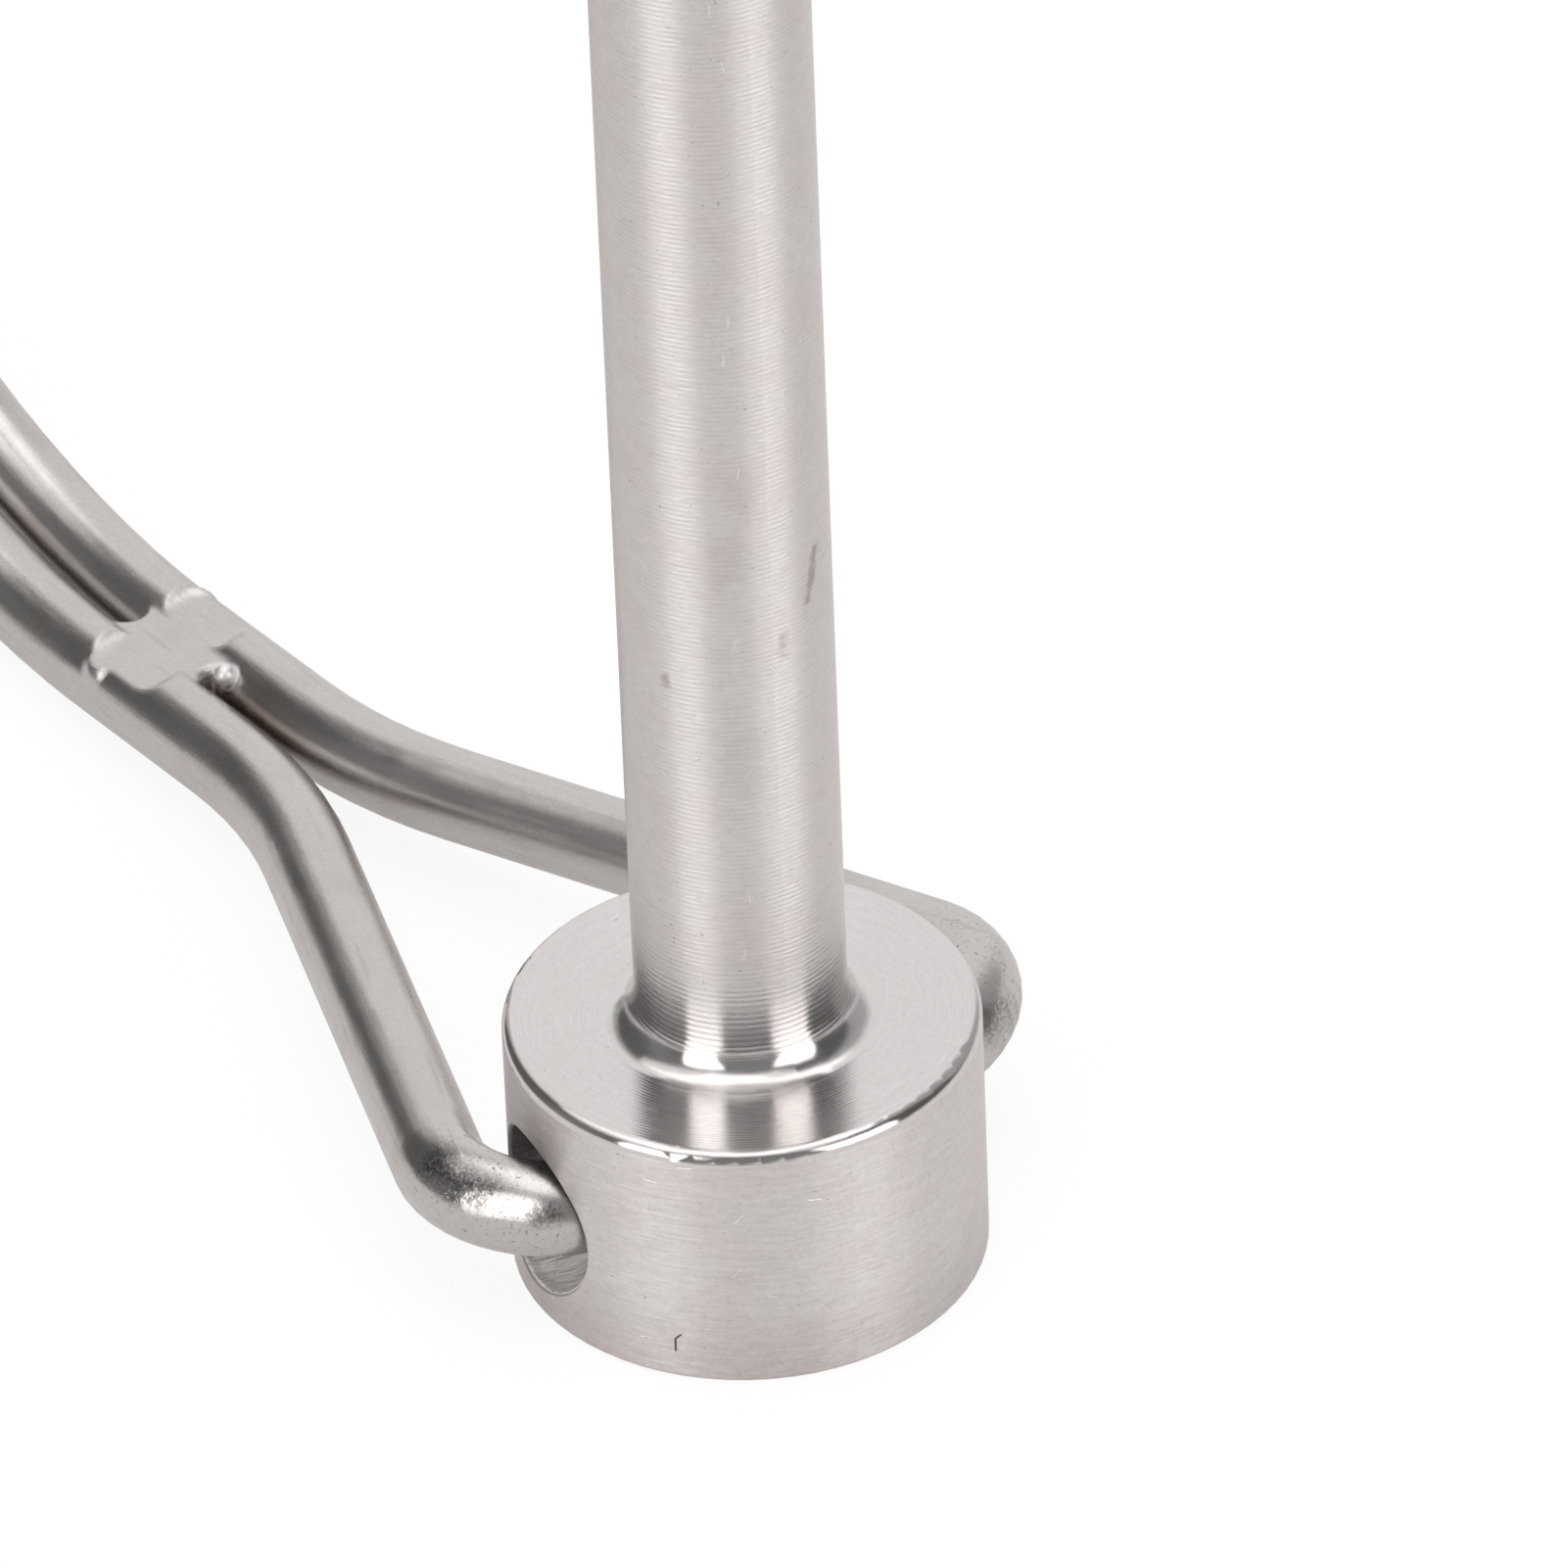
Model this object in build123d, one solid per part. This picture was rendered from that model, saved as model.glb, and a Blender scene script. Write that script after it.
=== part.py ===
from build123d import *

import os
from math import acos, atan2, cos, degrees, hypot, radians, sin, sqrt, tan

# Safety coupler pin: a turned pin with a cross-drilled head, and a bent wire bail that swings in it.
# Millimetres. The origin is the centre of the head's flat base, +Z runs up the shank, the cross hole
# lies along Y and the bail reaches out towards -X. The bail is unlatched and hangs loose: its arch
# rests on the surface that the head stands on, and its eye is beside the shank's tip.

# Shank and head
SHANK_D = 6.0
SHANK_LENGTH = 65.0
HEAD_D = 13.5
HEAD_HEIGHT = 8.0
HEAD_RIM_ROUND = 0.32
HEAD_BASE_CHAMFER = 0.15

# Root of the shank: a hollow round down to the head's face
ROOT_ROUND = 0.95

# Tapered tip
TIP_TAPER_LENGTH = 2.6
TIP_END_D = 3.6
TIP_ROUND = 0.4

# Cross hole in the head
HOLE_D = 4.9
HOLE_HEIGHT = 3.42
HOLE_EDGE_BREAK = 0.1

# Wire and the two legs of the bail
WIRE_D = 2.7
PAIR_GAP = 0.22
END_INSET = 2.2
END_CHAMFER = 0.25
END_DROOP_DEG = 8.5
END_CROSSING = 4.5
ROOT_BEND_R = 2.8
LEG_ANGLE_DEG = 20.2
LEG_TO_HEAD = 0.4
MERGE_BEND_R = 19.0
PAIR_RUN = 9.8

# Arch and eye
CLOSED_PITCH_DEG = 7.5
EYE_CLEARANCE = 0.3
EYE_BELOW_TIP = 5.5
EYE_NECK_R = 4.0

# How the loose bail lies in its hole
BAIL_YAW_DEG = 7.8
BAIL_SHIFT = 0.6

# Spot welds that join the two wires: the spread metal with its lobes, the electrodes' prints on both of
# its sides, and a bead squeezed out at the arch weld
WELD_LENGTH = 4.8
WELD_WIDTH = 4.2
WELD_CORNER_R = 1.0
WELD_GAP_END_R = 0.5
WELD_GAP_END_OUT = 0.1
WELD_ROUND = 0.3
LOBE_R = 0.85
LOBE_UP = 0.55
LEFT_LOBE_ALONG = 1.7
LEFT_LOBE_ACROSS = 1.75
RIGHT_LOBE_ALONG = 0.5
RIGHT_LOBE_ACROSS = 1.9
PRINT_LENGTH = 4.8
PRINT_WIDTH = 7.6
PRINT_CORNER_R = 1.7
PRINT_DEPTH = 0.25
PRINT_ROUND = 1.5
PRINT_TURN_DEG = 13.0
BEAD_R = 0.34
BEAD_ALONG = 2.4
BEAD_ACROSS = 0.3
BEAD_UP = 0.95
ARCH_WELD_BACK = 1.7
EYE_WELD_BACK = 3.5

# Sizes that follow
head_r = HEAD_D / 2
shank_r = SHANK_D / 2
wire_r = WIRE_D / 2
tip_z = HEAD_HEIGHT + SHANK_LENGTH
half_pair = (WIRE_D + PAIR_GAP) / 2
leg_angle = radians(LEG_ANGLE_DEG)
leg_corner = head_r + LEG_TO_HEAD + wire_r / cos(leg_angle) + HOLE_HEIGHT * tan(leg_angle)
leg_run = (leg_corner - half_pair) / tan(leg_angle)
end_slope = tan(radians(END_DROOP_DEG))
leg_lift = (leg_corner - END_CROSSING) * end_slope
arch_start = leg_run + PAIR_RUN
closed_pitch = radians(CLOSED_PITCH_DEG)
arch_turn = 180 - CLOSED_PITCH_DEG
eye_r = shank_r + EYE_CLEARANCE + wire_r


def arch_radius():
    """The arch is as large as brings the eye of the closed bail to its height on the shank."""
    eye_z = tip_z - EYE_BELOW_TIP
    start_z = HOLE_HEIGHT + leg_lift * cos(closed_pitch) + arch_start * sin(closed_pitch)
    return (eye_z - start_z) / (1 + cos(closed_pitch))


def rest_pitch():
    """Angle in degrees that the loose bail hangs below level, its arch's low side on the surface."""
    centre_v = leg_lift + arch_r
    centre_z = arch_r + wire_r
    reach = hypot(arch_start, centre_v)
    return degrees(acos((centre_z - HOLE_HEIGHT) / reach) - atan2(arch_start, centre_v))


arch_r = arch_radius()
eye_run = arch_start * cos(closed_pitch) - (leg_lift + arch_r) * sin(closed_pitch)


def bail_point(out, across, up):
    """A point of the bail in its own frame: out from the hole's axis, across to one side, and up."""
    return Vector(-out, across, up)


# The arch lies upright, and the eye in the plane in which the arch ends
arch_plane = Plane(
    origin=bail_point(arch_start, half_pair, leg_lift + arch_r), x_dir=(-1, 0, 0), z_dir=(0, 1, 0)
)
arch_end = arch_plane.from_local_coords(
    (arch_r * sin(radians(arch_turn)), -arch_r * cos(radians(arch_turn)))
)
eye_dir = Vector(-cos(radians(arch_turn)), 0, sin(radians(arch_turn)))
eye_centre = Vector(arch_end.X, 0, arch_end.Z) + eye_dir * eye_run
eye_plane = Plane(origin=eye_centre, x_dir=eye_dir, z_dir=eye_dir.cross(Vector(0, 1, 0)))


def pin_profile():
    """Half section of the pin in the XZ plane, from the base up to the tip."""
    root = (shank_r, HEAD_HEIGHT)
    shoulder = (shank_r, tip_z - TIP_TAPER_LENGTH)
    tip = (TIP_END_D / 2, tip_z)
    outline = Polyline(
        (0, 0), (head_r, 0), (head_r, HEAD_HEIGHT), root, shoulder, tip, (0, tip_z), close=True
    )
    face = make_face(outline)

    def corner(radius, height):
        return face.vertices().sort_by_distance((radius, height))[0]

    face = chamfer(corner(head_r, 0), HEAD_BASE_CHAMFER)
    face = fillet(corner(head_r, HEAD_HEIGHT), HEAD_RIM_ROUND)
    face = fillet(corner(*root), ROOT_ROUND)
    face = fillet(corner(*tip), TIP_ROUND)
    return Plane.XZ * face


def headed_pin():
    """The turned pin, cross-drilled through the head, with both edges of the hole broken."""
    turned = revolve(pin_profile(), Axis.Z)
    hole = Pos(0, 0, HOLE_HEIGHT) * Rot(90, 0, 0) * Cylinder(HOLE_D / 2, HEAD_D * 2)
    bored = turned - hole
    mouths = [edge for edge in bored.edges() if abs(edge.center(CenterOf.MASS).Y) > shank_r]
    return chamfer(mouths, HOLE_EDGE_BREAK)


def leg_path():
    """Centre line of one side, from the end in the hole to where the arch begins."""
    end_drop = (leg_corner - END_INSET) * end_slope
    return FilletPolyline(
        bail_point(0, END_INSET, leg_lift - end_drop),
        bail_point(0, leg_corner, leg_lift),
        bail_point(leg_run, half_pair, leg_lift),
        bail_point(arch_start, half_pair, leg_lift),
        radius=[ROOT_BEND_R, MERGE_BEND_R],
    )


def arch_path():
    return arch_plane * CenterArc((0, 0), arch_r, -90, arch_turn)


def eye_path():
    """Centre line of one side of the eye: the straight run, the neck and half of the ring."""
    neck_y = half_pair + EYE_NECK_R
    neck_x = -sqrt((eye_r + EYE_NECK_R) ** 2 - neck_y**2)
    ring_start = degrees(atan2(neck_y, neck_x))
    flat = (
        Line((-eye_run, half_pair), (neck_x, half_pair))
        + CenterArc((neck_x, neck_y), EYE_NECK_R, -90, ring_start - 90)
        + CenterArc((0, 0), eye_r, ring_start, -ring_start)
    )
    return eye_plane * flat


def bail_side():
    """One wire, swept from its end in the hole round to the middle of the eye."""
    path = Wire(leg_path().edges() + arch_path().edges() + eye_path().edges())
    section = Plane(origin=path @ 0, z_dir=path % 0) * Circle(wire_r)
    wire = sweep(section, path)
    end_face = wire.faces().sort_by_distance(path @ 0)[0]
    return chamfer(end_face.edges(), END_CHAMFER)


def weld():
    """The spread metal of a weld, and the two prints that the electrodes press into its flat sides.

    The origin lies midway between the wires, with x along them and z out of their flat sides. At both
    ends the gap between the wires runs into the metal with a round end. Away from the legs the metal
    is squeezed up and out into a lobe on each wire.
    """
    floor = wire_r - PRINT_DEPTH
    gap_ends = [
        Pos(side * (WELD_LENGTH / 2 + WELD_GAP_END_OUT), 0) * Circle(WELD_GAP_END_R) for side in (-1, 1)
    ]
    outline = RectangleRounded(WELD_LENGTH, WELD_WIDTH, WELD_CORNER_R) - gap_ends
    spread = extrude(outline, floor, both=True)
    spread = fillet(spread.faces().filter_by(Axis.Z).edges(), WELD_ROUND)
    lobes = ((-LEFT_LOBE_ALONG, LEFT_LOBE_ACROSS), (-RIGHT_LOBE_ALONG, -RIGHT_LOBE_ACROSS))
    for along, across in lobes:
        spread += Pos(along, across, LOBE_UP) * Sphere(LOBE_R)
    pad = Rot(0, 0, PRINT_TURN_DEG) * RectangleRounded(PRINT_LENGTH, PRINT_WIDTH, PRINT_CORNER_R)
    dent = extrude(Pos(0, 0, floor) * pad, WIRE_D)
    dent = fillet(dent.faces().sort_by(Axis.Z)[0].edges(), PRINT_ROUND)
    return spread, dent, mirror(dent, Plane.XY)


def wire_bail():
    """The whole bail in its own frame, with a weld before the arch and one before the eye."""
    side = bail_side()
    bail = side + mirror(side, Plane.XZ)
    arch_weld = Plane(origin=bail_point(arch_start - ARCH_WELD_BACK, 0, leg_lift))
    eye_weld_x = -sqrt((eye_r + EYE_NECK_R) ** 2 - (half_pair + EYE_NECK_R) ** 2) - EYE_WELD_BACK
    eye_weld = Plane(origin=eye_plane.from_local_coords((eye_weld_x, 0)), x_dir=eye_plane.x_dir,
                     z_dir=eye_plane.z_dir)
    spread, upper_dent, lower_dent = weld()
    for plane in (arch_weld, eye_weld):
        bail = bail + plane * spread - plane * upper_dent - plane * lower_dent
    bead = Pos(BEAD_ALONG, BEAD_ACROSS, BEAD_UP) * Sphere(BEAD_R)
    return bail + arch_weld * bead


def rest_place():
    """Where the loose bail lies: turned and shifted by its play, and swung down to the surface."""
    swing = Rot(0, -rest_pitch(), 0)
    play = Rot(0, 0, BAIL_YAW_DEG) * Pos(0, BAIL_SHIFT, 0)
    return Pos(0, 0, HOLE_HEIGHT) * play * swing


def main():
    nodes = {"headed_pin": headed_pin(), "wire_bail": rest_place() * wire_bail()}
    os.makedirs("parts", exist_ok=True)
    for name, shape in nodes.items():
        export_step(shape, f"parts/{name}.step")
    print("arch radius", round(arch_r, 3), "rest pitch", round(rest_pitch(), 3))


main()
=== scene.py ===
from math import cos, pi, radians, sin

import bpy
from mathutils import Matrix, Vector

# Looks of a stainless coupler pin that stands on its head, with its loose wire bail beside it.
# Blender's objects are in metres; sizes below are in millimetres and angles in degrees.
MM = 0.001

# Camera, as the photograph was taken. Azimuth 0 looks along +Y, 90 along -X.
PHOTO_PIXELS = 1601
FOCAL_PIXELS = 16220.4
SENSOR_WIDTH = 36.0
CAMERA_AZIMUTH = 64.55
CAMERA_ELEVATION = 36.152
CAMERA_ROLL = -2.258
CAMERA_DISTANCE = 450.0
CLIP_START = 10.0
CLIP_END = 20000.0
# What it looks at: a point to the right of the part's origin and above it, as the camera sees them
TARGET_RIGHT = 1.437
TARGET_UP = 12.747

# Studio, all in directions from the part. Azimuths are counted from the camera's own, to the right.
# Each soft box: name, azimuth, elevation, distance, width, height, brightness next to white
SOFT_BOXES = (
    ("box_left", -41.0, 22.5, 1300.0, 770.0, 960.0, 2.8),
    ("box_right", 52.0, 22.5, 1300.0, 830.0, 960.0, 2.8),
    ("box_top", 180.0, 85.5, 1300.0, 1170.0, 1650.0, 0.9),
)
# Grey of the room round the part, as pairs of azimuth and level
ROOM_SHADES = (
    (-180.0, 0.98), (-154.0, 0.98), (-142.0, 0.12), (-108.0, 0.15), (-92.0, 0.25), (-68.0, 0.2),
    (-60.0, 0.12), (-24.0, 0.26), (30.0, 0.26), (74.0, 0.12), (110.0, 0.14), (120.0, 0.42),
    (143.0, 0.5), (154.0, 0.98), (180.0, 0.98),
)
# How far up the room's grey reaches, as pairs of azimuth and the sine of its elevation
ROOM_TOPS = (
    (-180.0, 0.835), (-120.0, 0.75), (-60.0, 0.79), (0.0, 0.86), (30.0, 0.93), (50.0, 0.975),
    (85.0, 0.975), (115.0, 0.88), (180.0, 0.835),
)
ROOM_TOP_SOFT = 0.02
HORIZON_SOFT = 0.02
CEILING_LEVEL = 0.98
# Floor: half its width, its drop under the part, its paint, and its glow to the eye and in the metal.
# A share of it takes the part's shadow and is darker, so the rest glows a little over white.
FLOOR_HALF = 2500.0
FLOOR_DROP = 0.02
FLOOR_PAINT = (0.9, 0.9, 0.9)
FLOOR_GLOW = 1.04
FLOOR_IN_METAL = (0.84, 0.81, 0.8)
SHADOW_SHARE = 0.15
SHADOW_SHARE_IN_METAL = 0.5

# Sizes of the pin that its finish follows
HEAD_R = 6.75
HEAD_HEIGHT = 8.0
RIM_ROUND = 0.32
SHANK_R = 3.0
ROOT_ROUND = 0.95
ROOT_FOOT_R = SHANK_R + ROOT_ROUND
ROOT_TOP = HEAD_HEIGHT + ROOT_ROUND
HOLE_HEIGHT = 3.42
HOLE_R = 2.45

# Lie of the bail: its turn and shift in the hole, and its swing down to the floor
BAIL_YAW = 7.8
BAIL_SHIFT = 0.6
BAIL_PITCH = 4.857
WIRE_LEVEL = 0.803
LEG_ANGLE = 20.2
LEG_CORNER = 9.87
PAIR_START = 22.9
ARCH_START = 32.6
ARCH_R = 29.643
BEAD_PLACE = (-28.404, -2.982, 2.754)
BEAD_R = 0.34

# Colours of bare stainless steel, as reflectances. Three of them hold painted light and shade, as
# marked below.
TURNED_STEEL = (0.67, 0.65, 0.64)
TURNED_STEEL_WARM = (0.675, 0.605, 0.592)
# Painted light on the bore's lower, torn part, which is also rougher and less metallic, and painted
# shade on its upper part
BORE_TORN_PAINTED_LIGHT = (0.92, 0.88, 0.86)
BORE_PAINTED_SHADE = (0.25, 0.24, 0.235)
WIRE_STEEL = (0.555, 0.53, 0.515)
WIRE_STEEL_WARM = (0.52, 0.475, 0.45)
WIRE_STEEL_DULL = (0.43, 0.405, 0.39)
STAIN_BROWN = (0.36, 0.27, 0.23)
STAIN_PINK = (0.58, 0.48, 0.46)
# A painted highlight: the bead is lighter than the wire it is made of
BEAD_PAINTED_HIGHLIGHT = (0.85, 0.83, 0.82)
GRIME = (0.1, 0.09, 0.085)

# The pin's finish, and the light painted into its colour, change along its outline. A row of six has a
# value for each
# stretch: the head's side, its rim and its face, the hollow round at the root, the coarse turning
# above, and the shank.
PIN_ROUGHNESS = (0.35, 0.12, 0.18, 0.17, 0.2, 0.41)
WEAR_ROUGHNESS = (0.14, 0.1, 0.08, 0.1, 0.1, 0.14)
BRUSH_ROUGHNESS = (0.12, 0.0, 0.06, 0.06, 0.08, 0.12)
BRUSH_DEPTH = (0.009, 0.0006, 0.0024, 0.001, 0.003, 0.006)
LONG_BRUSH_DEPTH = (0.012, 0.0, 0.0025, 0.0, 0.003, 0.008)
SCRATCH_DEPTH = (-0.012, 0.0, 0.0, 0.0, 0.0, -0.005)
WARMTH = (0.8, 0.3, 0.1, 0.4, 0.5, 0.55)
# Painted light: the side, the coarse turning and the shank are lighter in colour, standing in for
# brighter reflections
PAINTED_LIGHT_BY_STRETCH = (0.06, 0.0, 0.0, 0.0, 0.06, 0.09)
MOTTLE_GRAIN = (0.28, 0.0, 0.16, 0.08, 0.12, 0.16)
BRUSH_GRAIN = (0.38, 0.0, 0.16, 0.1, 0.2, 0.26)
LONG_BRUSH_GRAIN = (0.1, 0.0, 0.05, 0.1, 0.12, 0.1)
SCRATCH_GRAIN = (0.12, 0.0, 0.0, 0.0, 0.0, 0.08)
SPECK_GRAIN = (0.5, 0.0, 0.3, 0.3, 0.2, 0.55)

# Where the stretches change into each other: how softly, how far below the root's top the coarse
# turning starts, and the height at which it has died out
SIDE_FADE = (-0.1, 0.05)
RIM_SOFT = 0.04
FACE_SOFT = 0.05
ROOT_SOFT = 0.15
COARSE_BELOW = 0.4
COARSE_TOP = 12.6

# Marks of the turning tool: from one to the next, their depth, and how much they show as grain. They
# wander by up to a few radians of their own wave.
SHANK_FEED = (0.155, 0.0036, 0.04)
COARSE_FEED = (0.19, 0.0028, 0.19)
FACE_FEED = (0.11, 0.0006, 0.015)
FEED_WANDER = 5.0

# Noise textures: scale for each millimetre, detail, and roughness where it isn't a half. The scale is
# 1 where the place is stretched first.
WANDER_NOISE = (0.35, 1.0)
MOTTLE_NOISE = (5.5, 3.0, 0.65)
PIN_PATCHES_NOISE = (0.45, 4.0)
WEAR_NOISE = (2.6, 5.0, 0.6)
PIN_STAIN_NOISE = (2.5, 4.0, 0.65)
DENT_NOISE = (1.9, 4.0, 0.7)
SCORE_NOISE = (1.0, 3.0, 0.6)
WIRE_PATCHES_NOISE = (0.5, 4.0)
SKIN_NOISE = (7.0, 4.0, 0.6)
PIT_NOISE = (9.0, 3.0, 0.6)
WAVE_NOISE = (0.9, 1.0)
DRAWN_NOISE = (1.0, 3.0)
SPECKLE_NOISE = (10.0, 4.0, 0.7)

# Streaks round the pin: scale round it, scale along its outline, and detail
BRUSH = (7.0, 13.0, 3.0)
LONG_BRUSH = (3.0, 5.0, 4.0)
FEED_BREAKS = (5.0, 1.6, 3.0)
SPECKS = (22.0, 9.0, 2.0)
STREAK_ROUGHNESS = 0.55

# Which values of a noise count: where a ramp starts and ends, and what it goes from and to
FEED_BREAK_RAMP = (0.36, 0.6, 0.25, 1.0)
SPECK_RAMP = (0.69, 0.77)
DENT_RAMP = (0.64, 0.76)
PIN_WARM_RAMP = (0.35, 0.65)
PIT_RAMP = (0.6, 0.7)
WIRE_WARM_RAMP = (0.5, 0.75, 0.0, 0.7)
WIRE_DULL_RAMP = (0.56, 0.75, 0.0, 0.6)
SPECKLE_RAMP = (0.36, 0.58)

# Scratches: cells for each millimetre, length, width, and the share of cells that have one. They are
# at full depth over a share of their width, and of their length to each side of the middle.
SCRATCHES = (0.8, 0.5, 0.035, 0.4)
SCRATCH_FULL_WIDTH = 0.4
SCRATCH_FULL_LENGTH = 0.3
SCRATCH_SHARE_SOFT = 0.01
# Depth of the dents in the head's rim
DENT_DEPTH = 0.007
# Painted shade: the head's side is darker towards its base, where its reflection of the floor is
# shaded. Up to which height, and by how much
SIDE_PAINTED_SHADE_TOP = 3.4
SIDE_PAINTED_SHADE = -0.11
# Radius of the pin's worn corners, how far its highlights stretch across the brushing, and the turn
# that lays them so, as a share of a whole one
PIN_EDGE_WEAR = 0.1
PIN_STRETCH = 0.8
QUARTER_TURN = 0.25

# A short crack near the base of the head's side, as distance round it and height. Its upper end
# bends aside with this slope.
CRACK_PLACE = -5.245
CRACK_LOW = 0.95
CRACK_HIGH = 1.6
CRACK_BEND_LENGTH = 0.2
CRACK_BEND = 0.9
CRACK_WIDTH = (0.015, 0.04)
CRACK_END_SOFT = 0.06
CRACK_DEPTH = 0.03

# The bore's wall: its edge, from the hole's radius, and the heights between which its lower part
# fades out, from the hole's axis. Low in its mouth the metal is torn into a slope, which starts and
# ends at distances inside the head's side, with scores that run into the hole.
BORE_EDGE = (0.03, 0.12)
BORE_LOWER = (-1.2, 0.6)
BORE_SLOPE_IN = 2.6
BORE_SLOPE_OUT = 0.3
BORE_SLOPE_RISE = 1.3
SCORES_ACROSS = 1.7
SCORES_INWARD = 0.4
SCORE_DEPTH = 0.7
BORE_ROUGHNESS = 0.15
BORE_TORN = 0.8

# Stains on the shank: two ends, as distance round it and height, then width, strength and colour
SHANK_STAINS = (
    ((1.68, 24.9), (1.28, 23.4), 0.12, 0.6, STAIN_BROWN),
    ((0.32, 22.6), (0.28, 22.1), 0.14, 0.4, STAIN_BROWN),
    ((-3.15, 21.4), (-3.1, 21.1), 0.1, 0.5, STAIN_BROWN),
    ((-0.8, 28.1), (-0.75, 27.4), 0.4, 0.25, STAIN_PINK),
    ((-1.2, 25.8), (-1.15, 25.1), 0.4, 0.28, STAIN_PINK),
    ((-1.0, 19.3), (-0.9, 18.4), 0.6, 0.2, STAIN_PINK),
)
# Stains on the bail: two ends, then width, strength and colour
BAIL_STAINS = (
    ((-35.9, -4.9, 3.5), (-35.65, -4.9, 3.5), 0.5, 0.5, STAIN_BROWN),
    ((-27.0, -2.9, 1.6), (-26.35, -2.9, 1.6), 1.3, 0.6, STAIN_BROWN),
    ((-30.7, -3.5, 3.1), (-30.6, -3.5, 3.1), 0.15, 0.5, STAIN_PINK),
)
# Where the bending tool left a pitted skin, in the same form
BAIL_PITTING = (
    ((-1.4, -9.2, 5.0), (0.3, -8.3, 5.0), 0.33, 0.8, GRIME),
    ((0.0, -8.9, 4.7), (0.45, -8.6, 4.68), 0.2, 0.85, GRIME),
    ((1.55, -7.3, 4.45), (1.6, -6.8, 4.5), 0.25, 0.7, GRIME),
    ((-0.6, 8.5, 4.5), (-0.1, 7.8, 4.3), 0.35, 0.6, GRIME),
)
# A stain fades out at a multiple of its width. Noise pulls its edge in and out by another multiple,
# on the bail by a share of that.
STAIN_FADE = 2.0
STAIN_RAGGED = 5.0
BAIL_RAGGED = 0.4

# Marks that drawing left along the wire: scale along it and across it, depth, and part in roughness
DRAWN_ALONG = 0.35
DRAWN_ACROSS = 5.0
DRAWN_DEPTH = 0.006
DRAWN_ROUGHNESS = 0.2
# Where they turn from the slanting legs to the pair, and from there to the arch
PAIR_FADE = (-3.0, 2.0)
ARCH_FADE = (-1.5, 1.5)

# Places on the bail, as distances from the corner of a leg and out from the hole's axis: the root
# bends, the wire's end in the hole's mouth, and the tilt of the bends' skin with its height
BEND_SIDE = (-3.6, -1.8)
BEND_OUT = (4.5, 2.0)
MOUTH_SIDE = (-0.8, -2.6)
MOUTH_OUT = (3.0, 1.5)
TILT_SIDE = (-3.0, -0.5)
TILT = 0.42

# Skin of the wire, of its bends where the tool pressed it, of its end in the mouth and of the bead
WIRE_ROUGHNESS = 0.25
PATCH_ROUGHNESS = 0.16
BEND_ROUGHNESS = -0.1
MOUTH_ROUGHNESS = 0.1
BEAD_ROUGHNESS = 0.3
SKIN_DEPTH = 0.0012
BEND_SKIN_DEPTH = 0.0028
PIT_DEPTH = 0.003
PIT_GRIME = 0.7
WAVE_DEPTH = 0.01
SKIN_GRAIN = 0.2
# Radius of the worn corners at the welds
WIRE_EDGE_WEAR = 0.3
# How far round the bead its lighter colour, a painted highlight, and its own smooth normal reach
BEAD_COLOUR_EDGE = (0.02, 0.2)
BEAD_NORMAL_EDGE = (0.0, 0.04)

# Smallest distance from the pin's axis that is divided by
NEAR_AXIS = 0.01
BEVEL_SAMPLES = 4
# Sockets of the Mix node for each kind: its two values and its result
MIX_SOCKETS = {"RGBA": (6, 7, 2), "VECTOR": (4, 5, 1)}

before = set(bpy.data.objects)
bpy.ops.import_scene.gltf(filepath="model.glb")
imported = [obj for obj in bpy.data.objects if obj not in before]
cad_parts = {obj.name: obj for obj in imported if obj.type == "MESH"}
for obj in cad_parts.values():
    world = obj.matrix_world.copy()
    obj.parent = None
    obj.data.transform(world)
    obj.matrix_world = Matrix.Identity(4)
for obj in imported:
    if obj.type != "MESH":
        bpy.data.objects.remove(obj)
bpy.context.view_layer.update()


def direction(azimuth, elevation):
    """Unit vector towards a place at an azimuth (0 is -Y, 90 is +X) and an elevation."""
    a = radians(azimuth)
    e = radians(elevation)
    return Vector((sin(a) * cos(e), -cos(a) * cos(e), sin(e)))


def grey(level):
    return (level, level, level)


def link(obj):
    bpy.context.scene.collection.objects.link(obj)
    return obj


def make_camera():
    back = direction(CAMERA_AZIMUTH, CAMERA_ELEVATION)
    right = (-back).cross(Vector((0, 0, 1))).normalized()
    up = right.cross(-back)
    target = (right * TARGET_RIGHT + up * TARGET_UP) * MM
    roll = radians(CAMERA_ROLL)
    rolled_right = right * cos(roll) + up * sin(roll)
    rolled_up = up * cos(roll) - right * sin(roll)
    turn = Matrix((rolled_right, rolled_up, back)).transposed()
    data = bpy.data.cameras.new("camera")
    data.sensor_width = SENSOR_WIDTH
    data.lens = SENSOR_WIDTH * FOCAL_PIXELS / PHOTO_PIXELS
    data.clip_start = CLIP_START * MM
    data.clip_end = CLIP_END * MM
    camera = link(bpy.data.objects.new("camera", data))
    camera.matrix_world = Matrix.Translation(target + back * CAMERA_DISTANCE * MM) @ turn.to_4x4()
    bpy.context.scene.camera = camera


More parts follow.
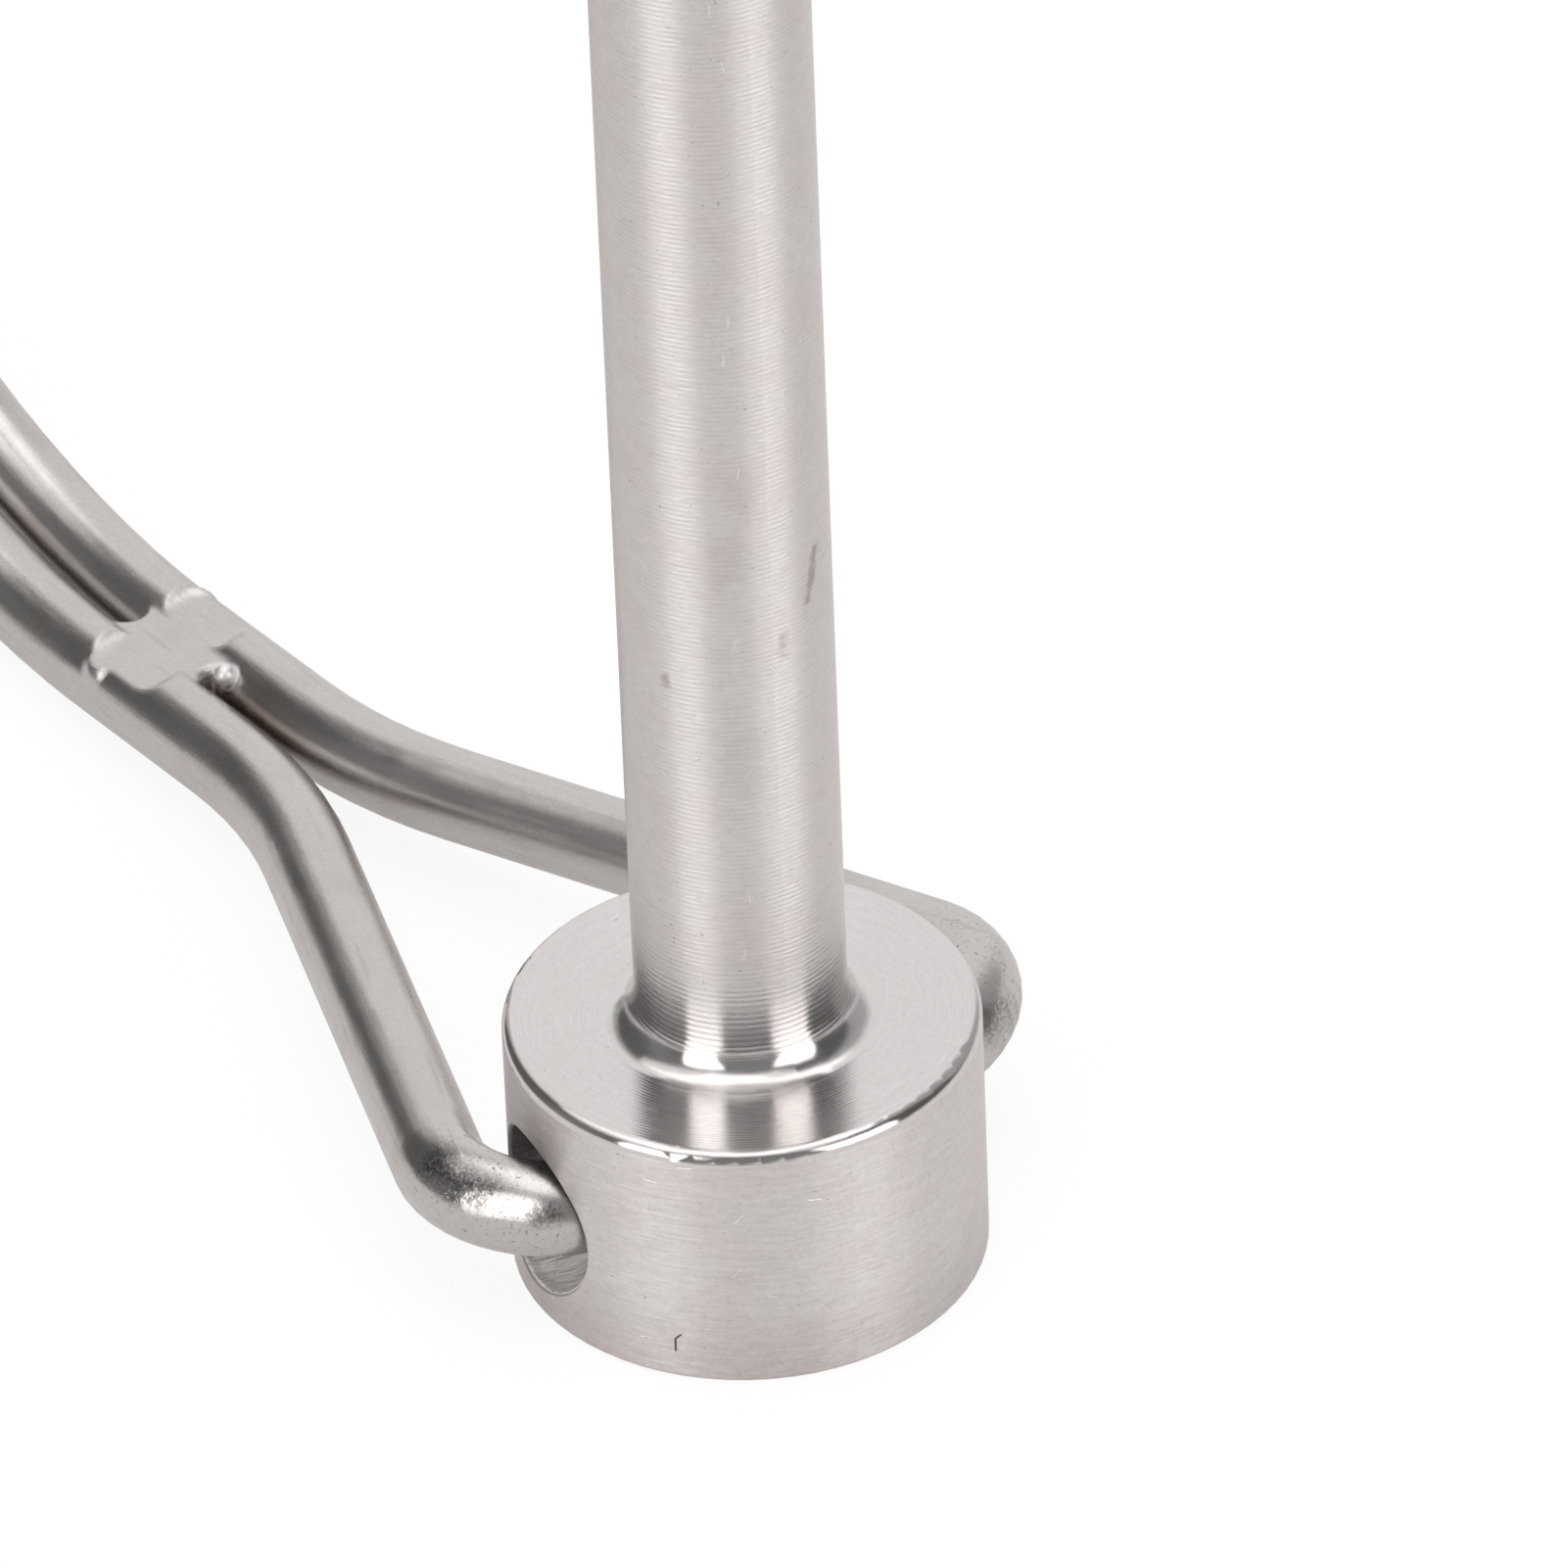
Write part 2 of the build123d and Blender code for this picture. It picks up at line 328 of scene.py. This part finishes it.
class Graph:
    """Builds a node tree. Its methods add nodes and give back what comes out of the last one."""

    def __init__(self, tree):
        self.tree = tree
        self.tree.nodes.clear()

    def add(self, kind, inputs=(), **settings):
        """Adds one node with its settings and inputs, and gives back the node itself."""
        node = self.tree.nodes.new(kind)
        for key, value in settings.items():
            setattr(node, key, value)
        for key, value in dict(inputs).items():
            self.put(node.inputs[key], value)
        return node

    def put(self, socket, value):
        """Links an output to the socket, or writes a plain value into it."""
        if isinstance(value, bpy.types.NodeSocket):
            self.tree.links.new(value, socket)
        elif isinstance(value, tuple) and socket.type == "RGBA":
            socket.default_value = (*value, 1.0)
        else:
            socket.default_value = value

    def math(self, operation, *values):
        return self.add("ShaderNodeMath", enumerate(values), operation=operation).outputs[0]

    def total(self, *values):
        result = values[0]
        for value in values[1:]:
            result = self.math("ADD", result, value)
        return result

    def product(self, *values):
        result = values[0]
        for value in values[1:]:
            result = self.math("MULTIPLY", result, value)
        return result

    def difference(self, value, taken):
        return self.math("SUBTRACT", value, taken)

    def absolute(self, value):
        return self.math("ABSOLUTE", value)

    def inverted(self, mask):
        """1 where the mask is 0, and 0 where it is 1."""
        return self.difference(1.0, mask)

    def centred(self, noise):
        """A noise, moved so that its middle value is 0."""
        return self.difference(noise, 0.5)

    def hypotenuse(self, a, b):
        """The long side of a right triangle with the short sides a and b."""
        return self.math("SQRT", self.total(self.product(a, a), self.product(b, b)))

    def vector(self, operation, *values):
        node = self.add("ShaderNodeVectorMath", enumerate(values), operation=operation)
        scalar = operation in ("DOT_PRODUCT", "LENGTH", "DISTANCE")
        return node.outputs["Value" if scalar else "Vector"]

    def scaled(self, vector, factor):
        node = self.add("ShaderNodeVectorMath", {0: vector, "Scale": factor}, operation="SCALE")
        return node.outputs["Vector"]

    def rotated(self, vector, axis, angle):
        inputs = {"Vector": vector, "Angle": radians(angle)}
        return self.add("ShaderNodeVectorRotate", inputs, rotation_type=axis).outputs[0]

    def split(self, vector):
        return self.add("ShaderNodeSeparateXYZ", {0: vector}).outputs

    def join(self, x, y, z):
        return self.add("ShaderNodeCombineXYZ", {0: x, 1: y, 2: z}).outputs[0]

    def millimetres(self):
        place = self.add("ShaderNodeTexCoord").outputs["Object"]
        return self.scaled(place, 1 / MM)

    def ramp(self, value, low, high, at_low=0.0, at_high=1.0):
        """A smooth change from one value to another as the input goes from low to high."""
        inputs = {0: value, 1: low, 2: high, 3: at_low, 4: at_high}
        node = self.add("ShaderNodeMapRange", inputs, interpolation_type="SMOOTHSTEP")
        return node.outputs[0]

    def ramp_near(self, value, middle, fade, at_low=0.0, at_high=1.0):
        """A ramp whose start and end are given by their distances from a middle."""
        return self.ramp(value, middle + fade[0], middle + fade[1], at_low, at_high)

    def band(self, value, low, high, soft):
        """1 between low and high, and 0 outside, with soft edges."""
        rise = self.ramp(value, low - soft, low + soft)
        fall = self.ramp(value, high - soft, high + soft, 1.0, 0.0)
        return self.product(rise, fall)

    def mix(self, factor, a, b, kind="RGBA"):
        """The first value where the factor is 0 and the second where it is 1."""
        first, second, result = MIX_SOCKETS[kind]
        node = self.add("ShaderNodeMix", data_type=kind)
        for socket, value in ((0, factor), (first, a), (second, b)):
            self.put(node.inputs[socket], value)
        return node.outputs[result]

    def noise(self, vector, scale, detail, roughness=0.5):
        inputs = {"Vector": vector, "Scale": scale, "Detail": detail, "Roughness": roughness}
        return self.add("ShaderNodeTexNoise", inputs).outputs[0]

    def worn_normal(self, radius):
        """The surface's normal, with corners that look worn to a radius in millimetres."""
        return self.add("ShaderNodeBevel", {"Radius": radius * MM}, samples=BEVEL_SAMPLES).outputs[0]

    def greys(self, value, stops):
        """Grey levels that change evenly from stop to stop; the stops are pairs of value and level."""
        low = stops[0][0]
        span = stops[-1][0] - low
        share = self.math("MULTIPLY_ADD", value, 1 / span, -low / span)
        node = self.add("ShaderNodeValToRGB", {0: share})
        elements = node.color_ramp.elements
        for position, level in stops[1:-1]:
            elements.new((position - low) / span).color = (*grey(level), 1.0)
        for element, level in ((elements[0], stops[0][1]), (elements[-1], stops[-1][1])):
            element.color = (*grey(level), 1.0)
        return node.outputs[0]

    def stain(self, place, ragged, start, end, width):
        """1 inside a ragged stain round the line from start to end, and 0 away from it."""
        first = Vector(start).to_3d()
        line = Vector(end).to_3d() - first
        from_start = self.vector("SUBTRACT", place, tuple(first))
        onward = self.vector("DOT_PRODUCT", from_start, tuple(line))
        share = self.math("DIVIDE", onward, line.length_squared)
        clamped = self.math("MINIMUM", self.math("MAXIMUM", share, 0.0), 1.0)
        aside = self.vector("SUBTRACT", from_start, self.scaled(tuple(line), clamped))
        reach = self.total(self.vector("LENGTH", aside), self.product(ragged, STAIN_RAGGED * width))
        return self.ramp(reach, 0.0, STAIN_FADE * width, 1.0, 0.0)

    def stained(self, colour, place, ragged, stains, *where):
        """The colour with a row of stains over it, in the places that the masks after them allow."""
        for start, end, width, strength, tint in stains:
            soiled = self.stain(place, ragged, start, end, width)
            colour = self.mix(self.product(soiled, *where, strength), colour, tint)
        return colour

    def scratches(self, flat, per_mm, length, width, share):
        """1 on short straight scratches, each in a cell of its own and at an angle of its own."""
        spread = self.scaled(flat, per_mm)
        inputs = {"Vector": spread, "Scale": 1.0}
        cells = self.add("ShaderNodeTexVoronoi", inputs, voronoi_dimensions="2D").outputs
        chance, turn, _ = self.split(cells["Color"])
        from_middle = self.vector("SUBTRACT", spread, cells["Position"])
        across, up, _ = self.split(self.scaled(from_middle, 1 / per_mm))
        angle = self.product(turn, 2 * pi)
        sine = self.math("SINE", angle)
        cosine = self.math("COSINE", angle)
        aside = self.absolute(self.difference(self.product(across, sine), self.product(up, cosine)))
        onward = self.absolute(self.total(self.product(across, cosine), self.product(up, sine)))
        return self.product(
            self.ramp(aside, width * SCRATCH_FULL_WIDTH, width, 1.0, 0.0),
            self.ramp(onward, length * SCRATCH_FULL_LENGTH, length / 2, 1.0, 0.0),
            self.ramp(chance, share, share + SCRATCH_SHARE_SOFT, 1.0, 0.0),
        )


def new_graph(name):
    material = bpy.data.materials.new(name)
    material.use_nodes = True
    return material, Graph(material.node_tree)


def finish_metal(graph, colour, roughness, height, normal):
    """The metal's shader, from a colour, a roughness, a height in millimetres and a normal."""
    bump = graph.add("ShaderNodeBump", {
        "Height": height, "Distance": MM, "Strength": 1.0, "Normal": normal,
    })
    shader = graph.add("ShaderNodeBsdfPrincipled", {
        "Base Color": colour, "Metallic": 1.0, "Roughness": roughness, "Normal": bump.outputs[0],
    })
    graph.add("ShaderNodeOutputMaterial", {"Surface": shader.outputs[0]})
    return shader


def stretches(g, along):
    """A mask for each stretch of the pin's outline, with soft changes between them."""
    rim_low = HEAD_HEIGHT - RIM_ROUND - HEAD_R
    rim_high = HEAD_HEIGHT - HEAD_R + RIM_ROUND
    foot = HEAD_HEIGHT - ROOT_FOOT_R
    neck = ROOT_TOP - SHANK_R - COARSE_BELOW
    coarse_end = COARSE_TOP - SHANK_R
    side = g.ramp_near(along, rim_low, SIDE_FADE, 1.0, 0.0)
    rim = g.band(along, rim_low, rim_high, RIM_SOFT)
    face = g.band(along, rim_high, foot, FACE_SOFT)
    root = g.band(along, foot, neck, ROOT_SOFT)
    above_root = g.ramp(along, neck - ROOT_SOFT, neck + ROOT_SOFT)
    coarse = g.product(above_root, g.ramp(along, neck, coarse_end, 1.0, 0.0))
    shank = g.ramp(along, neck, coarse_end)
    return side, rim, face, root, coarse, shank


def crack_mask(g, side, around, z):
    """1 on the short crack in the head's side."""
    bend_start = CRACK_HIGH - CRACK_BEND_LENGTH
    bend = g.product(g.math("MAXIMUM", g.difference(z, bend_start), 0.0), CRACK_BEND)
    aside = g.absolute(g.difference(g.difference(around, CRACK_PLACE), bend))
    on_height = g.band(z, CRACK_LOW, CRACK_HIGH, CRACK_END_SOFT)
    return g.product(side, g.ramp(aside, *CRACK_WIDTH, 1.0, 0.0), on_height)


def bore_marks(g, x, y, z):
    """1 on the wall of the drilled bore, 1 on its lower part, and the torn metal's height there."""
    over_hole = g.difference(z, HOLE_HEIGHT)
    bore = g.ramp_near(g.hypotenuse(x, over_hole), HOLE_R, BORE_EDGE, 1.0, 0.0)
    lower = g.product(bore, g.ramp(over_hole, *BORE_LOWER, 1.0, 0.0))
    slope_start = HEAD_R - BORE_SLOPE_IN
    slope_end = HEAD_R - BORE_SLOPE_OUT
    slope = g.ramp(g.absolute(y), slope_start, slope_end, BORE_SLOPE_RISE, 0.0)
    inward = g.join(g.product(x, SCORES_ACROSS), g.product(over_hole, SCORES_ACROSS),
                    g.product(y, SCORES_INWARD))
    scores = g.product(g.noise(inward, *SCORE_NOISE), SCORE_DEPTH)
    return bore, lower, g.product(lower, g.total(slope, scores))


def turned_steel():
    """Turned and drilled stainless steel, its marks all running round the pin's axis."""
    material, g = new_graph("turned_steel_finish")
    place = g.millimetres()
    x, y, z = g.split(place)
    radius = g.hypotenuse(x, y)
    off_axis = g.math("MAXIMUM", radius, NEAR_AXIS)
    ring_x = g.math("DIVIDE", x, off_axis)
    ring_y = g.math("DIVIDE", y, off_axis)
    turn = g.math("ARCTAN2", y, x)
    around = g.product(turn, radius)
    unrolled = g.join(around, z, 0.0)

    # Distance along the outline, which grows from the base's edge over the rim to the tip
    along = g.difference(z, radius)
    masks = stretches(g, along)
    side, rim, face, _, coarse, shank = masks

    def by_stretch(row):
        return g.total(*(g.product(mask, value) for mask, value in zip(masks, row)))

    def streaks(scale_round, scale_along, detail):
        ring = g.join(g.product(ring_x, scale_round), g.product(ring_y, scale_round),
                      g.product(along, scale_along))
        return g.noise(ring, 1.0, detail, STREAK_ROUGHNESS)

    wander = g.product(g.noise(place, *WANDER_NOISE), FEED_WANDER)

    def feed_marks(feed, *where):
        """The tool's marks, a fine thread that wanders a little, as a height and as a grain."""
        pitch, depth, grain = feed
        marks = g.math("SINE", g.total(g.product(along, 2 * pi / pitch), turn, wander))
        return g.product(marks, *where, depth), g.product(marks, *where, grain)

    broken = g.ramp(streaks(*FEED_BREAKS), *FEED_BREAK_RAMP)
    shank_height, shank_grain = feed_marks(SHANK_FEED, shank, broken)
    coarse_height, coarse_grain = feed_marks(COARSE_FEED, coarse)
    face_height, face_grain = feed_marks(FACE_FEED, face)
    brush = streaks(*BRUSH)
    long_brush = streaks(*LONG_BRUSH)
    scratches = g.scratches(unrolled, *SCRATCHES)
    dents = g.ramp(g.noise(place, *DENT_NOISE), *DENT_RAMP)
    crack = crack_mask(g, side, around, z)
    bore, lower, torn_height = bore_marks(g, x, y, z)

    height = g.total(
        shank_height,
        coarse_height,
        face_height,
        g.product(brush, by_stretch(BRUSH_DEPTH)),
        g.product(long_brush, by_stretch(LONG_BRUSH_DEPTH)),
        g.product(dents, rim, -DENT_DEPTH),
        g.product(scratches, by_stretch(SCRATCH_DEPTH)),
        g.product(crack, -CRACK_DEPTH),
        torn_height,
    )
    roughness = g.total(
        by_stretch(PIN_ROUGHNESS),
        g.product(g.centred(g.noise(place, *WEAR_NOISE)), by_stretch(WEAR_ROUGHNESS)),
        g.product(g.centred(brush), by_stretch(BRUSH_ROUGHNESS)),
        g.product(bore, BORE_ROUGHNESS),
    )
    patches = g.ramp(g.noise(place, *PIN_PATCHES_NOISE), *PIN_WARM_RAMP)
    colour = g.mix(g.product(patches, by_stretch(WARMTH)), TURNED_STEEL, TURNED_STEEL_WARM)
    # The colour's grain, which also holds painted light on some stretches and painted shade at the
    # side's base
    grain = g.total(
        1.0,
        by_stretch(PAINTED_LIGHT_BY_STRETCH),
        # Painted shade, darker towards the side's base
        g.product(side, g.ramp(z, 0.0, SIDE_PAINTED_SHADE_TOP, SIDE_PAINTED_SHADE, 0.0)),
        g.product(g.centred(g.noise(place, *MOTTLE_NOISE)), by_stretch(MOTTLE_GRAIN)),
        g.product(g.centred(brush), by_stretch(BRUSH_GRAIN)),
        g.product(g.centred(long_brush), by_stretch(LONG_BRUSH_GRAIN)),
        shank_grain,
        coarse_grain,
        face_grain,
        g.product(scratches, by_stretch(SCRATCH_GRAIN)),
    )
    colour = g.scaled(colour, grain)
    specks = g.ramp(streaks(*SPECKS), *SPECK_RAMP)
    colour = g.mix(g.product(specks, by_stretch(SPECK_GRAIN)), colour, GRIME)
    ragged = g.centred(g.noise(place, *PIN_STAIN_NOISE))
    colour = g.stained(colour, unrolled, ragged, SHANK_STAINS, shank)
    colour = g.mix(crack, colour, GRIME)
    # Painted shade darkens the bore's upper wall, and painted light lightens its lower, torn part
    colour = g.mix(bore, colour, g.mix(lower, BORE_PAINTED_SHADE, BORE_TORN_PAINTED_LIGHT))

    # Brushed metal stretches its highlights, and torn metal scatters light instead of mirroring it
    shader = finish_metal(g, colour, roughness, height, g.worn_normal(PIN_EDGE_WEAR))
    tangent = g.add("ShaderNodeTangent", direction_type="RADIAL", axis="Z").outputs[0]
    g.put(shader.inputs["Tangent"], tangent)
    shader.inputs["Anisotropic"].default_value = PIN_STRETCH
    shader.inputs["Anisotropic Rotation"].default_value = QUARTER_TURN
    g.put(shader.inputs["Metallic"], g.inverted(g.product(lower, BORE_TORN)))
    return material


def bail_place(g, place):
    """The place in the bail's own frame: its legs lie level there and reach out towards -x."""
    lifted = g.vector("SUBTRACT", place, (0.0, 0.0, HOLE_HEIGHT))
    turned = g.rotated(lifted, "Z_AXIS", -BAIL_YAW)
    shifted = g.vector("SUBTRACT", turned, (0.0, BAIL_SHIFT, 0.0))
    return g.split(g.rotated(shifted, "Y_AXIS", BAIL_PITCH))


def drawn_marks(g, out, y, z):
    """Marks along the wire: on the slanting legs, on the straight pair and round the arch."""

    def drawn(onward, across, up):
        stretched = g.join(g.product(onward, DRAWN_ALONG), g.product(across, DRAWN_ACROSS),
                           g.product(up, DRAWN_ACROSS))
        return g.noise(stretched, *DRAWN_NOISE)

    slope = radians(LEG_ANGLE)
    aside = g.absolute(y)
    onward = g.difference(g.product(out, cos(slope)), g.product(aside, sin(slope)))
    across = g.total(g.product(out, sin(slope)), g.product(aside, cos(slope)))
    from_centre_out = g.difference(out, ARCH_START)
    from_centre_up = g.difference(z, WIRE_LEVEL + ARCH_R)
    arch_turn = g.math("ARCTAN2", from_centre_out, g.product(from_centre_up, -1.0))
    arch_reach = g.hypotenuse(from_centre_out, from_centre_up)
    past_legs = g.ramp_near(out, PAIR_START, PAIR_FADE)
    past_pair = g.ramp_near(out, ARCH_START, ARCH_FADE)
    return g.total(
        g.product(drawn(onward, across, z), g.inverted(past_legs)),
        g.product(drawn(out, y, z), g.difference(past_legs, past_pair)),
        g.product(drawn(g.product(arch_turn, ARCH_R), arch_reach, y), past_pair),
    )


def bead_marks(g, place):
    """1 away from the bead at the weld and 0 on it, and a normal that is a true ball's on the bead."""
    from_bead = g.vector("DISTANCE", place, BEAD_PLACE)
    outward = g.add("ShaderNodeVectorTransform", {0: g.vector("SUBTRACT", place, BEAD_PLACE)},
                    vector_type="NORMAL", convert_from="OBJECT", convert_to="WORLD").outputs[0]
    normal = g.mix(g.ramp_near(from_bead, BEAD_R, BEAD_NORMAL_EDGE), g.vector("NORMALIZE", outward),
                   g.worn_normal(WIRE_EDGE_WEAR), "VECTOR")
    return g.ramp_near(from_bead, BEAD_R, BEAD_COLOUR_EDGE), normal


def wire_steel():
    """Drawn stainless wire: smooth, with faint marks along it and a pitted skin where it was bent."""
    material, g = new_graph("wire_steel_finish")
    place = g.millimetres()
    x, y, z = bail_place(g, place)
    out = g.product(x, -1.0)
    aside = g.absolute(y)
    marks = drawn_marks(g, out, y, z)
    patches = g.noise(place, *WIRE_PATCHES_NOISE)
    skin = g.noise(place, *SKIN_NOISE)
    pits = g.ramp(g.noise(place, *PIT_NOISE), *PIT_RAMP)

    # The tool pressed the root bends, and their skin tilts so that they mirror the soft boxes
    near_root = g.ramp(out, *BEND_OUT)
    bent = g.product(g.ramp_near(aside, LEG_CORNER, BEND_SIDE), near_root)
    tilt = g.product(g.ramp_near(aside, LEG_CORNER, TILT_SIDE, TILT, 0.0), near_root)
    mouth = g.product(g.ramp_near(aside, LEG_CORNER, MOUTH_SIDE), g.ramp(out, *MOUTH_OUT))

    off_bead, normal = bead_marks(g, place)

    height = g.total(
        g.product(marks, DRAWN_DEPTH),
        g.product(skin, g.total(SKIN_DEPTH, g.product(bent, BEND_SKIN_DEPTH))),
        g.product(pits, bent, -PIT_DEPTH),
        g.product(g.noise(place, *WAVE_NOISE), WAVE_DEPTH),
        tilt,
    )
    roughness = g.total(
        WIRE_ROUGHNESS,
        g.product(bent, BEND_ROUGHNESS),
        g.product(g.centred(patches), PATCH_ROUGHNESS),
        g.product(g.centred(marks), DRAWN_ROUGHNESS),
        g.product(mouth, MOUTH_ROUGHNESS),
        g.product(g.inverted(off_bead), BEAD_ROUGHNESS),
    )
    colour = g.mix(g.ramp(patches, *WIRE_WARM_RAMP), WIRE_STEEL, WIRE_STEEL_WARM)
    colour = g.mix(g.ramp(marks, *WIRE_DULL_RAMP), colour, WIRE_STEEL_DULL)
    colour = g.mix(g.product(pits, bent, PIT_GRIME), colour, GRIME)
    ragged = g.product(g.centred(patches), BAIL_RAGGED)
    colour = g.stained(colour, place, ragged, BAIL_STAINS)
    colour = g.scaled(colour, g.total(1.0, g.product(g.centred(skin), SKIN_GRAIN)))
    # Painted highlight: the bead is given a lighter colour than the wire
    colour = g.mix(off_bead, BEAD_PAINTED_HIGHLIGHT, colour)
    speckle = g.ramp(g.noise(place, *SPECKLE_NOISE), *SPECKLE_RAMP)
    colour = g.stained(colour, place, ragged, BAIL_PITTING, speckle)
    finish_metal(g, colour, roughness, g.product(height, off_bead), normal)
    return material


def camera_or_mirror_ray(graph):
    """1 for rays from the camera and rays that a shiny or clear surface sends on."""
    rays = graph.add("ShaderNodeLightPath").outputs
    glossy = graph.math("MAXIMUM", rays["Is Glossy Ray"], rays["Is Transmission Ray"])
    return graph.math("MAXIMUM", rays["Is Camera Ray"], glossy)


def floor_material():
    """Pale floor that stays white, with a soft share of the part's shadow."""
    material, g = new_graph("floor_white")
    plain = g.add("ShaderNodeBsdfDiffuse", {"Color": FLOOR_PAINT}).outputs[0]
    in_metal = g.add("ShaderNodeLightPath").outputs["Is Glossy Ray"]
    tint = g.mix(in_metal, grey(FLOOR_GLOW), FLOOR_IN_METAL)
    glow = g.add("ShaderNodeEmission", {"Color": tint, "Strength": 1.0}).outputs[0]
    share = g.total(SHADOW_SHARE, g.product(in_metal, SHADOW_SHARE_IN_METAL - SHADOW_SHARE))
    lit = g.add("ShaderNodeMixShader", {0: share, 1: glow, 2: plain}).outputs[0]
    shown = g.add("ShaderNodeMixShader", {0: camera_or_mirror_ray(g), 1: plain, 2: lit})
    g.add("ShaderNodeOutputMaterial", {"Surface": shown.outputs[0]})
    return material


def make_floor():
    mesh = bpy.data.meshes.new("floor")
    half = FLOOR_HALF * MM
    level = -FLOOR_DROP * MM
    corners = [(x, y, level) for x, y in ((-half, -half), (half, -half), (half, half), (-half, half))]
    mesh.from_pydata(corners, [], [(0, 1, 2, 3)])
    mesh.materials.append(floor_material())
    link(bpy.data.objects.new("floor", mesh))


def make_soft_box(name, azimuth, elevation, distance, width, height, brightness):
    """A lamp that faces the part, with the energy that makes its surface as bright as asked."""
    data = bpy.data.lights.new(name, "AREA")
    data.shape = "RECTANGLE"
    data.size = width * MM
    data.size_y = height * MM
    data.energy = brightness * pi * data.size * data.size_y
    away = direction(CAMERA_AZIMUTH + azimuth, elevation)
    lamp = link(bpy.data.objects.new(name, data))
    lamp.location = away * distance * MM
    lamp.rotation_mode = "QUATERNION"
    lamp.rotation_quaternion = away.to_track_quat("Z", "Y")


def make_world():
    """The room round the part: dim on the camera's side, and a bright backdrop behind and above."""
    world = bpy.data.worlds.new("studio")
    bpy.context.scene.world = world
    world.use_nodes = True
    g = Graph(world.node_tree)
    way = g.vector("NORMALIZE", g.add("ShaderNodeTexCoord").outputs["Generated"])
    rise = g.split(way)[2]
    toward = g.vector("DOT_PRODUCT", way, tuple(direction(CAMERA_AZIMUTH, 0.0)))
    to_right = g.vector("DOT_PRODUCT", way, tuple(direction(CAMERA_AZIMUTH + 90, 0.0)))
    azimuth = g.math("DEGREES", g.math("ARCTAN2", to_right, toward))
    room = g.greys(azimuth, ROOM_SHADES)
    over_room = g.difference(rise, g.greys(azimuth, ROOM_TOPS))
    above = g.ramp(over_room, -ROOM_TOP_SOFT, ROOM_TOP_SOFT)
    below = g.ramp(rise, -HORIZON_SOFT, 0.0, 1.0, 0.0)
    seen = g.mix(g.math("MAXIMUM", above, below), room, grey(CEILING_LEVEL))
    studio = g.add("ShaderNodeBackground", {"Color": seen, "Strength": 1.0}).outputs[0]
    white = g.add("ShaderNodeBackground", {"Color": grey(1.0), "Strength": 1.0}).outputs[0]
    camera_ray = g.add("ShaderNodeLightPath").outputs["Is Camera Ray"]
    shown = g.add("ShaderNodeMixShader", {0: camera_ray, 1: studio, 2: white}).outputs[0]
    g.add("ShaderNodeOutputWorld", {"Surface": shown})


def dress(node, material):
    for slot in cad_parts[node].material_slots:
        slot.material = material


make_camera()
make_world()
make_floor()
for soft_box in SOFT_BOXES:
    make_soft_box(*soft_box)
dress("headed_pin", turned_steel())
dress("wire_bail", wire_steel())

bpy.context.scene.view_settings.view_transform = "Standard"
